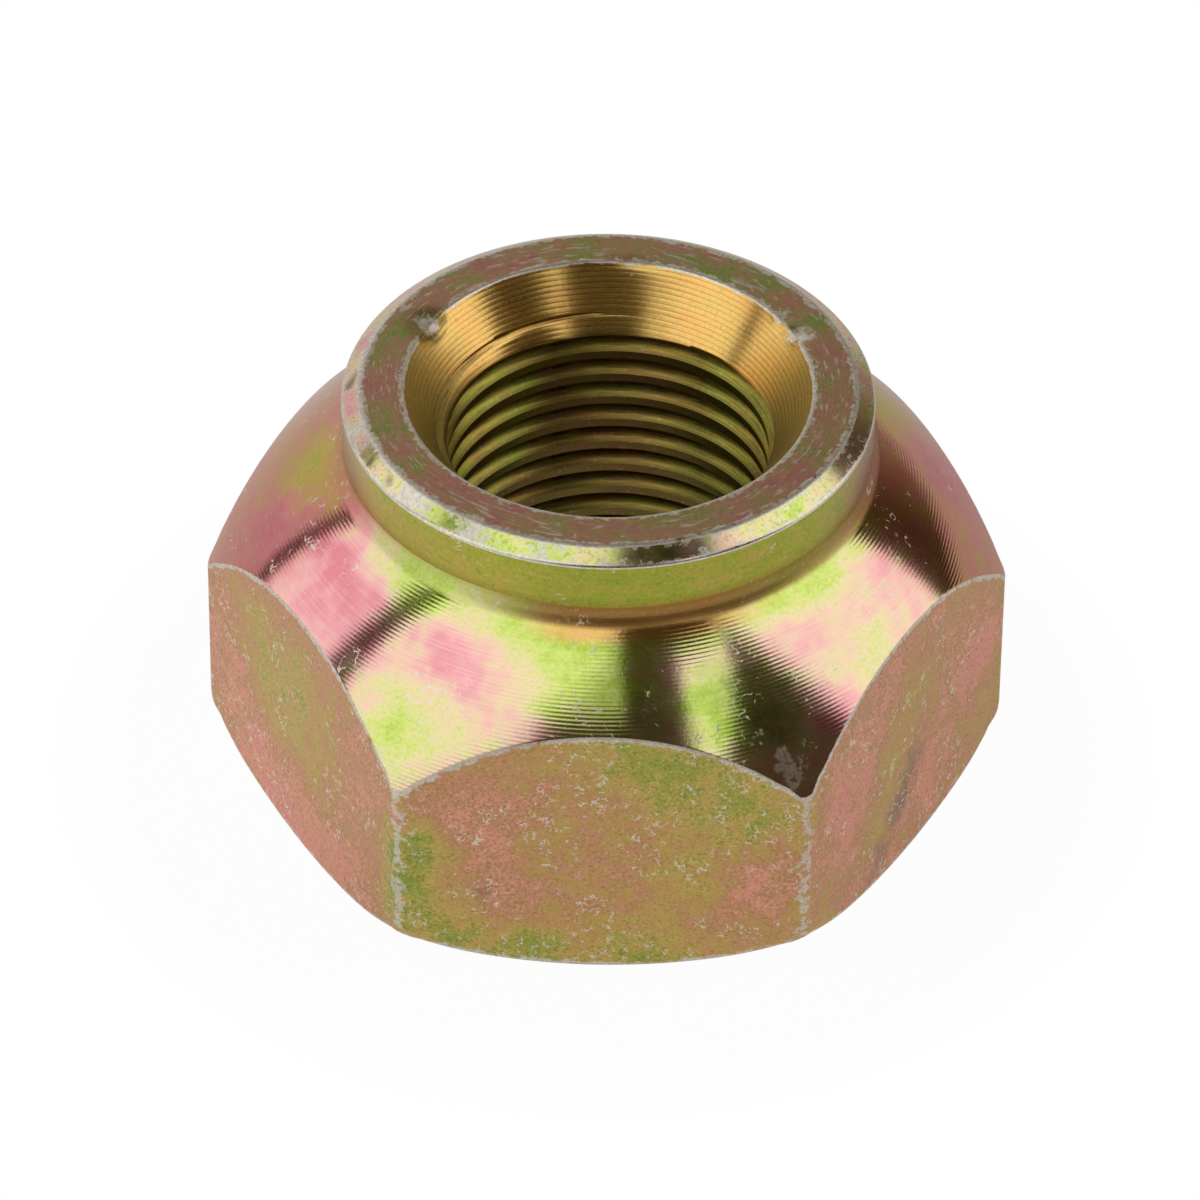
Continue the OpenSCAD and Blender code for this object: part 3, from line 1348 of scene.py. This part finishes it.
class BoreFinish(PlatedFinish):
    """Gold ringed countersinks and a tapped thread, with painted shade on front walls, grooves, crests and
    depths.
    """

    dull_reach = (7.0, 1.0)
    front_shade_share = 0.8
    mouth_reach = (21.2, 21.8)
    side_reach = (2.0, 7.0)
    deep_reach = (21.0, 8.0)
    deep_shade_share = 0.2
    crest_shade_share = 0.5
    groove_shade_share = 0.4
    dull_haze = 0.28
    cut_reach = (0.015, 0.05)
    crest_reach = (0.22, 0.08)
    line_per_turn = 4.0
    line_per_mm = 9.0
    line_reach = (0.54, 0.36)
    line_share = 0.6
    thread_haze = 0.1
    thread_reach = (22.6, 21.6)
    bronze_gain = 1.5
    bronze_drop = 0.3
    side_drop = 0.3
    groove_reach = (0.5, 0.0)

    def along(self, skin: SkinPlaces) -> Sock:
        """Return the length along the countersink, from the radius."""
        return skin.r * (1 / math.sin(math.radians(skin.form.countersink_half_angle)))

    def haze(self, skin: SkinPlaces) -> Sock:
        """Return the dull walls towards the front and the duller thread."""
        return self.front_wall(skin, self.dull_haze) + self.tapped(skin) * self.thread_haze

    def rings(self, skin: SkinPlaces) -> Sock:
        """Return the scallops, on the countersinks only."""
        return self.scallops(skin) * (1.0 - self.tapped(skin))

    def scallops(self, skin: SkinPlaces) -> Sock:
        """Return scallops between sharp lines: the size of a sine of the length along the countersink."""
        return abs((self.along(skin) * (math.pi / self.ring_pitch)).sine())

    def front_wall(self, skin: SkinPlaces, share: float) -> Sock:
        """Return a share on the front of the upper countersink and 0 elsewhere."""
        return skin.y.rise(*self.dull_reach, share) * skin.z.rise(*self.mouth_reach)

    def tapped(self, skin: SkinPlaces) -> Sock:
        """Tell the thread from the countersinks.

        Args:
            skin: Places on the skin.

        Returns:
            1 where the thread is cut past the countersinks and 0 on them.
        """
        f = skin.form
        upper = (skin.z - f.height) * f.countersink_slope + f.collar_mouth_r
        lower = f.face_mouth_r - skin.z * f.countersink_slope
        return (skin.r - upper.most(lower)).rise(*self.cut_reach)

    def edge_wear(self, skin: SkinPlaces, ragged: Sock) -> Sock:
        """Return wear along the mouth of the bore."""
        return self.rub(skin.form.height - skin.z, self.wear_width, ragged)

    def tint(self, skin: SkinPlaces, film: Sock) -> Sock:
        """Colour the film golden on the countersinks and a darker bronze, partly painted shade, in the
        thread.

        Args:
            skin: Places on the skin.
            film: The film's place on the ramp.

        Returns:
            The colour.
        """
        board = skin.board
        # Partly painted shade: the thread keeps the countersink's gold near the mouth, where light gets in,
        # and turns to the darker bronze below it
        thread = self.tapped(skin) * skin.z.rise(*self.thread_reach)
        sides = abs(skin.x).rise(*self.side_reach, self.side_drop)
        bronze = board.ramp(film * self.bronze_gain - self.bronze_drop - sides, BRONZE_FILM)
        return board.blend(thread, board.ramp(film, self.ramp), bronze)

    def shade(self, skin: SkinPlaces, tint: Sock) -> Sock:
        """Lay painted shade on the front walls, ring grooves, crests and deep bore, and tool lines in the
        thread.

        Args:
            skin: Places on the skin.
            tint: The film's colour.

        Returns:
            The colour.
        """
        board = skin.board
        tapped = self.tapped(skin)
        lines = skin.streaks(skin.r, self.line_per_turn, self.line_per_mm)
        lines = lines.rise(*self.line_reach, self.line_share)
        # Painted shade in the countersink's ring grooves; in the thread, real dark tool lines
        groove = self.scallops(skin).rise(*self.groove_reach, self.groove_shade_share)
        groove = groove * (1.0 - tapped) + lines * tapped
        # Painted shade on the thread's crests, and more of it deeper down the bore
        crest = skin.r.rise(*(skin.form.bore_r + reach for reach in self.crest_reach), self.crest_shade_share)
        deep = skin.z.rise(*self.deep_reach, self.deep_shade_share)
        # Painted shade on the front half of the upper countersink
        front_shaded = board.blend(self.front_wall(skin, self.front_shade_share), tint, CONE_SHADE)
        return board.blend(groove.most(crest + deep), front_shaded, BORE_DIRT_AND_SHADE)


@dataclass(frozen=True)
class NutDress:
    """The nut's finishes, with stains placed on its form."""

    form: NutForm

    mouth_aside = 0.2
    scratch_width = 0.09
    collar_darkening_drop = 2.2

    def on_flat(self, face: float, along: float, height: float, size: float, amount: float) -> Spot:
        """Place a spot on a hex flat, by the flat's azimuth and the distance right of its middle line."""
        aside = math.degrees(math.atan2(along, self.form.apothem))
        return Spot(face + aside, math.hypot(along, self.form.apothem), height, size, amount)

    def on_ball(self, azimuth: float, radius: float, size: float, amount: float) -> Spot:
        """Place a spot on the ball seat, by its azimuth and its distance from the axis."""
        up = math.sqrt(self.form.seat_r**2 - radius**2)
        return Spot(azimuth, radius, self.form.seat_centre_z + up, size, amount)

    def on_rim(self, azimuth: float, size: float, amount: float) -> Spot:
        """Place a spot on the middle of the rim's chamfer, by its azimuth."""
        f = self.form
        return Spot(azimuth, f.collar_r - f.rim_chamfer_w / 2, f.height - f.rim_chamfer_h / 2, size, amount)

    def on_mouth(self, azimuth: float, size: float, amount: float) -> Spot:
        """Place a spot on the collar's end, beside the mouth of the bore, by its azimuth."""
        return Spot(azimuth, self.form.collar_mouth_r + self.mouth_aside, self.form.height, size, amount)

    def hex_flat(self) -> PlatedFinish:
        """Dress the hex flats.

        Returns:
            Their finish: olive at the rims, rose and tan between.
        """
        front, left, right, back = 0.0, -60.0, 60.0, 180.0
        # Rows hold the flat, the distance right of its middle, the height, the reach and the amount
        stains = [
            (front, -10.4, 8.4, 3.6, -0.55),
            (front, -10.6, 5.0, 3.2, -0.40),
            (front, -8.6, 2.4, 3.8, -0.40),
            (front, -3.5, 1.2, 4.2, -0.38),
            (front, 2.0, 1.0, 4.0, -0.30),
            (front, -6.2, 11.6, 4.4, 0.22),
            (front, -5.8, 7.2, 3.6, 0.22),
            (front, -4.4, 4.8, 3.2, 0.18),
            (front, 1.6, 15.8, 5.0, -0.34),
            (front, 5.6, 13.4, 5.2, -0.34),
            (front, 9.0, 11.4, 4.6, -0.32),
            (front, 5.4, 7.8, 3.4, -0.22),
            (front, 8.4, 6.2, 4.2, 0.22),
            (front, 6.6, 4.0, 3.6, 0.14),
            (left, 0.0, 7.0, 17.0, 0.58),
            (left, -1.2, 10.2, 8.6, -0.74),
            (left, 2.0, 7.0, 6.0, -0.16),
            (right, 0.0, 8.0, 15.0, 0.36),
            (right, -8.0, 8.5, 5.5, 0.22),
            (right, -5.0, 3.0, 4.0, 0.12),
            (right, -3.6, 5.0, 3.6, -0.27),
            (right, -1.4, 8.0, 3.8, -0.27),
            (right, 1.0, 11.4, 4.4, -0.26),
            (right, 8.6, 9.2, 4.2, 0.3),
            (right, 3.2, 4.0, 3.6, 0.18),
            (back, -7.0, 10.0, 6.0, -0.3),
            (back, 4.0, 5.0, 7.0, 0.25),
            (back + left, 5.0, 9.0, 7.0, -0.3),
            (back + right, -4.0, 6.0, 7.0, -0.3),
        ]
        dirt_and_shade_spots = [
            (right, -0.8, 4.8, 2.0, 0.6),
            (right, 0.2, 5.9, 1.6, 0.5),
            (right, 0.9, 7.2, 1.5, 0.4),
            (right, -2.6, 2.8, 1.6, 0.4),
            (right, -3.6, 1.7, 1.2, 0.3),
            (front, -6.4, 5.9, 1.0, 0.4),
        ]
        return HexFlatFinish(
            name="hex_flat",
            seed=11.0,
            ramp=SATIN_FILM,
            roughness=0.44,
            film_mean=0.54,
            film_spread=0.8,
            mottle_film=0.7,
            grain_scale=6.0,
            grain_film=0.7,
            grain_depth=0.007,
            pit_share=0.42,
            fleck_share=0.35,
            speck_level=0.47,
            speck_scale=2.6,
            wear_width=0.14,
            wear_ragged=3.6,
            stains=tuple(starmap(self.on_flat, stains)),
            dirt_and_shade_spots=tuple(starmap(self.on_flat, dirt_and_shade_spots)),
        )

    def ball_seat(self) -> PlatedFinish:
        """Dress the ball seat.

        Returns:
            Its finish: clouds of green, cream and pink.
        """
        # Rows hold the azimuth, the distance from the axis, the reach and the amount
        stains = [
            (-90.0, 16.2, 4.4, -0.36),
            (-78.0, 18.2, 4.4, 0.25),
            (-108.0, 18.5, 5.0, -0.1),
            (-56.0, 17.0, 6.0, 0.32),
            (-29.0, 16.8, 3.2, 0.22),
            (-20.0, 18.4, 3.0, 0.16),
            (-34.0, 20.0, 5.0, -0.40),
            (-19.0, 19.4, 3.4, -0.20),
            (-12.0, 16.8, 4.2, -0.36),
            (-1.0, 17.6, 4.4, -0.40),
            (9.0, 18.0, 3.4, 0.05),
            (19.0, 17.6, 3.6, -0.36),
            (18.0, 19.2, 3.2, -0.4),
            (46.0, 15.4, 3.6, -0.14),
            (-40.0, 15.6, 3.4, -0.25),
            (29.0, 19.5, 3.0, -0.15),
            (62.0, 16.2, 3.2, 0.16),
            (50.0, 18.8, 4.4, -0.2),
            (38.0, 19.6, 2.6, 0.20),
            (5.0, 17.6, 3.0, -0.28),
            (27.0, 18.6, 4.0, -0.3),
            (-64.0, 15.8, 3.2, 0.3),
            (100.0, 18.5, 4.4, 0.28),
            (112.0, 16.0, 4.4, -0.35),
            (150.0, 18.0, 6.0, -0.3),
            (-150.0, 18.0, 6.0, 0.2),
        ]
        # These dark spots are painted shade that deepens the dark bands the front of the seat mirrors, and
        # partly dark stains
        dirt_and_shade_spots = [(28.0, 19.2, 3.0, 0.6), (6.0, 18.4, 2.4, 0.4), (23.0, 17.6, 2.2, 0.4)]
        rubs = [(29.0, 20.7, 2.4, 0.75), (-31.0, 21.0, 1.6, 0.6), (25.0, 19.6, 1.4, 0.6)]
        scuffs = [
            (-38.0, 19.0, 3.0, 0.3),
            (-29.0, 18.2, 2.6, 0.3),
            (55.0, 18.0, 2.6, 0.3),
            (24.0, 18.4, 2.2, 0.25),
        ]
        return BallSeatFinish(
            name="ball_seat",
            seed=5.0,
            ramp=GLOSS_FILM,
            roughness=0.11,
            film_mean=0.64,
            film_spread=0.45,
            mottle_film=0.42,
            grain_film=0.36,
            grain_depth=0.002,
            pit_share=0.12,
            ring_depth=0.0014,
            warp_reach=1.6,
            streak_film=0.3,
            streak_per_mm=7.0,
            speck_level=0.54,
            speck_scale=1.8,
            speck_width=0.035,
            wear_width=0.07,
            bare_rough=0.26,
            rub_share=0.65,
            stains=tuple(starmap(self.on_ball, stains)),
            rubs=tuple(starmap(self.on_ball, rubs)),
            scuffs=tuple(starmap(self.on_ball, scuffs)),
            dirt_and_shade_spots=tuple(starmap(self.on_ball, dirt_and_shade_spots)),
        )

    def collar(self) -> PlatedFinish:
        """Dress the collar.

        Returns:
            Its finish: olive in front, brown and rose behind.
        """
        # A broad darkening of the collar's right side, below its rim
        darkening_z = self.form.height - self.collar_darkening_drop
        darkening = Spot(azimuth=86.0, radius=self.form.collar_r, height=darkening_z, size=10.0, amount=0.5)
        return CollarFinish(
            name="collar",
            seed=7.0,
            ramp=OLIVE_FILM,
            roughness=0.28,
            film_mean=0.74,
            film_spread=0.3,
            mottle_film=0.4,
            grain_depth=0.002,
            streak_film=0.5,
            ring_depth=0.0006,
            ring_pitch=0.18,
            wear_width=0.12,
            dirt_and_shade_spots=(darkening,),
        )

    def rim(self) -> PlatedFinish:
        """Dress the rim's chamfer.

        Returns:
            Its finish: yellow, cream and bare.
        """
        # Rows hold the azimuth, the reach and the amount
        stains = [(-20.0, 15.0, -0.4), (48.0, 6.0, -0.4)]
        rubs = [(-74.0, 2.5, 0.7), (-48.0, 2.5, 0.8), (-30.0, 2.5, 0.75), (-14.0, 2.5, 0.65)]
        dirt_and_shade_spots = [
            (-92.0, 0.7, 0.9),
            (-64.0, 0.6, 0.9),
            (-57.0, 0.7, 0.8),
            (6.0, 1.2, 0.7),
            (13.0, 1.3, 0.7),
            (21.0, 1.0, 0.6),
        ]
        return RimFinish(
            name="rim",
            seed=13.0,
            ramp=GLOSS_FILM,
            roughness=0.16,
            film_mean=0.62,
            film_spread=0.9,
            film_scale=0.4,
            grain_depth=0.001,
            wear_width=0.18,
            wear_ragged=4.5,
            pit_share=0.4,
            speck_level=0.46,
            speck_width=0.07,
            stains=tuple(starmap(self.on_rim, stains)),
            rubs=tuple(starmap(self.on_rim, rubs)),
            dirt_and_shade_spots=tuple(starmap(self.on_rim, dirt_and_shade_spots)),
        )

    def collar_end(self) -> PlatedFinish:
        """Dress the collar's end.

        Returns:
            Its finish: drawn out patches of rose and olive.
        """
        # Rows hold the azimuth and the distance from the axis
        loop = [(-6.0, 13.0), (-3.0, 12.2), (1.0, 11.8), (4.0, 12.3), (2.5, 13.0)]
        points = [around_axis(azimuth, radius, self.form.height) for azimuth, radius in loop]
        return TopFinish(
            name="collar_end",
            seed=17.0,
            ramp=END_FILM,
            roughness=0.34,
            film_mean=0.58,
            film_spread=2.0,
            film_scale=0.3,
            streak_film=1.6,
            streak_per_turn=6.0,
            ring_depth=0.0008,
            ring_pitch=0.22,
            speck_level=0.44,
            wear_width=0.26,
            wear_ragged=4.0,
            rubs=self.mouth_rubs(),
            scratches=tuple(Scratch(start, end, self.scratch_width) for start, end in pairwise(points)),
        )

    def mouth_rubs(self) -> tuple[Spot, ...]:
        """Return the rubbed spots around the dents in the mouth of the bore."""
        # Rows hold the azimuth, the reach and the amount
        places = [(-119.0, 1.5, 1.0), (116.0, 1.4, 1.0), (124.0, 1.1, 0.9), (172.0, 1.6, 0.7)]
        return tuple(starmap(self.on_mouth, places))

    def bore(self) -> PlatedFinish:
        """Dress the countersinks and the thread.

        Returns:
            Their finish: gold, and bronze in the thread.
        """
        return BoreFinish(
            name="bore",
            seed=19.0,
            ramp=GOLD_FILM,
            roughness=0.21,
            film_mean=0.52,
            film_spread=0.9,
            film_scale=0.3,
            streak_film=0.6,
            ring_depth=0.006,
            ring_pitch=0.3,
            grain_depth=0.0015,
            wear_width=0.14,
            speck_level=0.9,
            rubs=self.mouth_rubs(),
        )

    def finishes(self) -> dict[Zone, PlatedFinish]:
        """Dress all zones.

        Returns:
            The finish of each.
        """
        face = PlatedFinish(
            name="outer_face",
            seed=31.0,
            ramp=SATIN_FILM,
            roughness=0.36,
            film_mean=0.55,
            ring_depth=0.002,
            ring_pitch=0.3,
        )
        return {
            Zone.FACE: face,
            Zone.FLAT: self.hex_flat(),
            Zone.SEAT: self.ball_seat(),
            Zone.COLLAR: self.collar(),
            Zone.RIM: self.rim(),
            Zone.TOP: self.collar_end(),
            Zone.BORE: self.bore(),
        }


@dataclass(frozen=True)
class LightPanel:
    """A soft light panel in the studio around the nut.

    Attributes:
        left: Azimuth of its left edge in degrees at the middle height, from the camera towards the right.
        right: Azimuth of its right edge.
        level: Its brightness.
        left_lean: Degrees that the left edge moves per degree of height.
        right_lean: Degrees that the right edge moves per degree of height.
        left_soft: Half the width over which the left edge fades.
        right_soft: Half the width over which the right edge fades.
        low: Height of its lower edge in degrees, or nothing where it reaches the floor.
        high: Height of its upper edge in degrees.
        end_soft: Half the height over which its ends fade.
    """

    left: float
    right: float
    level: float
    left_lean: float = 0.0
    right_lean: float = 0.0
    left_soft: float = 1.5
    right_soft: float = 1.5
    low: float | None = None
    high: float = 62.0
    end_soft: float = 5.0


@dataclass(frozen=True)
class Studio:
    """Camera, floor and the light panels around the nut.

    The camera is in millimetres, in pixels of the frame and in degrees, the floor and what the camera clips
    in metres, and the light in degrees.
    """

    elevation: float = 39.763
    azimuth: float = 0.313
    roll: float = 0.619
    distance: float = 482.05
    focal_px: float = 8800.98
    frame_px: float = 1200.0
    target_px: tuple[float, float] = (606.35, 574.77)
    target_z: float = 12.225
    sensor: float = 36.0
    clip: tuple[float, float] = (0.01, 100.0)
    floor_half: float = 3.0
    floor_seen: float = 0.97
    floor_mirrored: float = 0.4
    shadow_reach: tuple[float, float] = (0.026, 0.034)
    shadow_clear: float = 0.04
    behind_reach: tuple[float, float] = (0.005, 0.035)
    behind_dim: float = 0.34
    left_reach: tuple[float, float] = (-0.012, -0.026)
    left_lift: float = 0.2
    ambient: float = 0.06
    ceiling: float = 0.15
    ceiling_reach: tuple[float, float] = (74.0, 82.0)
    dim_reach: tuple[float, float] = (0.0, 0.4)
    shade_tint: Colour = Colour(1.0, 0.8, 0.46)
    middle_height: float = 45.0
    panels: tuple[LightPanel, ...] = (
        LightPanel(left=-250.0, right=-123.6, level=0.60, right_soft=1.0, high=50.0, end_soft=18.0),
        LightPanel(left=-119.5, right=-89.0, level=0.95, left_soft=1.0),
        LightPanel(
            left=-81.0,
            right=-15.0,
            level=0.5,
            right_lean=1.1,
            right_soft=6.0,
            high=74.0,
            end_soft=2.0,
        ),
        LightPanel(left=-81.0, right=7.0, level=0.5, low=44.0, high=74.0, end_soft=2.0),
        LightPanel(left=-81.0, right=-22.0, level=0.5, right_soft=4.0, high=44.0),
        LightPanel(
            left=30.0,
            right=49.0,
            level=0.95,
            left_lean=0.2,
            right_lean=0.8,
            left_soft=3.0,
            right_soft=3.0,
            low=22.0,
            high=56.0,
            end_soft=2.5,
        ),
        LightPanel(left=64.5, right=116.5, level=1.02, left_lean=-0.33, left_soft=2.5),
        LightPanel(left=140.0, right=250.0, level=0.25, left_soft=14.0, high=50.0, end_soft=18.0),
    )

    def axes(self) -> tuple[Vector, Vector, Vector]:
        """Turn the camera's angles into directions.

        Returns:
            Its right, up and backward directions, with its roll.
        """
        e, a, t = (math.radians(v) for v in (self.elevation, self.azimuth, self.roll))
        back = Vector((math.sin(a) * math.cos(e), -math.cos(a) * math.cos(e), math.sin(e)))
        right = Vector((math.cos(a), math.sin(a), 0.0))
        up = back.cross(right)
        return right * math.cos(t) + up * math.sin(t), up * math.cos(t) - right * math.sin(t), back

    def camera(self) -> bpy.types.Object:
        """Add the camera so that the target falls on its place in the frame.

        Returns:
            The camera.
        """
        right, up, back = self.axes()
        place = (Vector((0, 0, self.target_z)) + back * self.distance) * MM
        middle = self.frame_px / 2
        aside = (middle - self.target_px[0]) / self.focal_px
        above = (self.target_px[1] - middle) / self.focal_px
        ahead = (-back + right * aside + up * above).normalized()
        side = ahead.cross(up).normalized()
        over = side.cross(ahead)
        data = bpy.data.cameras.new("camera")
        data.sensor_width = self.sensor
        data.lens = self.focal_px * self.sensor / self.frame_px
        data.clip_start, data.clip_end = self.clip
        camera = bpy.data.objects.new("camera", data)
        turn = Matrix((side, over, -ahead)).transposed().to_4x4()
        camera.matrix_world = Matrix.Translation(place) @ turn
        bpy.context.scene.collection.objects.link(camera)
        bpy.context.scene.camera = camera
        return camera

    def floor(self) -> bpy.types.Object:
        """Add a plain pale floor that the camera sees as white, with a faint shadow.

        Returns:
            The floor.
        """
        h = self.floor_half
        mesh = bpy.data.meshes.new("floor")
        mesh.from_pydata([(-h, -h, 0), (h, -h, 0), (h, h, 0), (-h, h, 0)], [], [(0, 1, 2, 3)])
        floor = bpy.data.objects.new("floor", mesh)
        bpy.context.scene.collection.objects.link(floor)
        material = bpy.data.materials.new("floor_paper")
        material.use_nodes = True
        board = Board(material.node_tree)
        paper = board.node("ShaderNodeBsdfDiffuse", {}, {"Color": PAPER})
        glow = board.node("ShaderNodeEmission", {}, {"Color": WHITE, "Strength": 1.0})
        path = board.node("ShaderNodeLightPath")
        place = board.out(board.node("ShaderNodeTexCoord"), "Object")
        away = board.vector("DISTANCE", place, (0.0, 0.0, 0.0), "Value")
        clear = away.rise(*self.shadow_reach, self.shadow_clear)
        seen = board.out(path, "Is Camera Ray") * (clear + self.floor_seen)
        split = board.node("ShaderNodeSeparateXYZ", {}, {0: place})
        behind = board.out(split, "Y").rise(*self.behind_reach, self.behind_dim)
        beside = board.out(split, "X").rise(*self.left_reach, self.left_lift)
        mirrored = beside - behind + self.floor_mirrored
        share = seen + board.out(path, "Is Glossy Ray") * mirrored
        shaders = {0: share, 1: board.out(paper, "BSDF"), 2: board.out(glow, "Emission")}
        mix = board.node("ShaderNodeMixShader", {}, shaders)
        board.node("ShaderNodeOutputMaterial", {}, {"Surface": board.out(mix, "Shader")})
        mesh.materials.append(material)
        return floor

    def panel_light(self, panel: LightPanel, around: Sock, height: Sock) -> Sock:
        """Return a panel's light in a direction.

        It is the panel's level times four soft steps: inside its left and right edges, which lean with the
        height, above its lower edge and below its upper one.

        Args:
            panel: The panel.
            around: Azimuth of the direction in degrees.
            height: Height of the direction in degrees.

        Returns:
            The light.
        """
        raised = height - self.middle_height
        left = around - raised * panel.left_lean if panel.left_lean else around
        right = around - raised * panel.right_lean if panel.right_lean else around
        past_left = left.rise(panel.left - panel.left_soft, panel.left + panel.left_soft)
        before_right = right.rise(panel.right + panel.right_soft, panel.right - panel.right_soft)
        below = height.rise(panel.high + panel.end_soft, panel.high - panel.end_soft, panel.level)
        light = past_left * before_right * below
        if panel.low is None:
            return light
        return light * height.rise(panel.low - panel.end_soft, panel.low + panel.end_soft)

    def world(self) -> bpy.types.World:
        """Light the scene from soft panels around it, white to the camera.

        Returns:
            The world.
        """
        world = bpy.data.worlds.new("studio")
        world.use_nodes = True
        board = Board(world.node_tree)
        direction = board.out(board.node("ShaderNodeTexCoord"), "Generated")
        split = board.node("ShaderNodeSeparateXYZ", {}, {0: direction})
        x, y, z = (board.out(split, axis) for axis in "XYZ")
        around = board.math("ARCTAN2", x, -y) * DEGREES
        height = board.math("ARCSINE", z) * DEGREES
        light = height.rise(*self.ceiling_reach) * self.ceiling
        for panel in self.panels:
            light = light + self.panel_light(panel, around, height)
        seen = board.out(board.node("ShaderNodeLightPath"), "Is Camera Ray")
        dim = board.blend(light.rise(*self.dim_reach), self.shade_tint, WHITE)
        tint = board.blend(seen, dim, WHITE)
        strength = (light + self.ambient) * (1.0 - seen) + seen
        glow = board.node("ShaderNodeBackground", {}, {"Color": tint, "Strength": strength})
        board.node("ShaderNodeOutputWorld", {}, {"Surface": board.out(glow, "Background")})
        bpy.context.scene.world = world
        return world

    def set_up(self) -> None:
        """Add the camera, the floor and the light."""
        bpy.context.scene.view_settings.view_transform = "Standard"
        self.camera()
        self.floor()
        self.world()
        LOG.info("studio: camera, floor and %d light panels", len(self.panels))


def main() -> None:
    """Build the nut, dress it and set up the studio."""
    logging.basicConfig(level=logging.INFO)
    form = NutForm.from_frame(frame["record"])
    nut = LugNut(form).build()
    for zone, finish in sorted(NutDress(form).finishes().items()):
        nut.data.materials.append(finish.make(form))
        LOG.info("finish %s: %s", zone.name, finish.name)
    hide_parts(NODE_NAME)
    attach(nut, BODY_NAME)
    Studio().set_up()


if __name__ == "__main__":
    main()
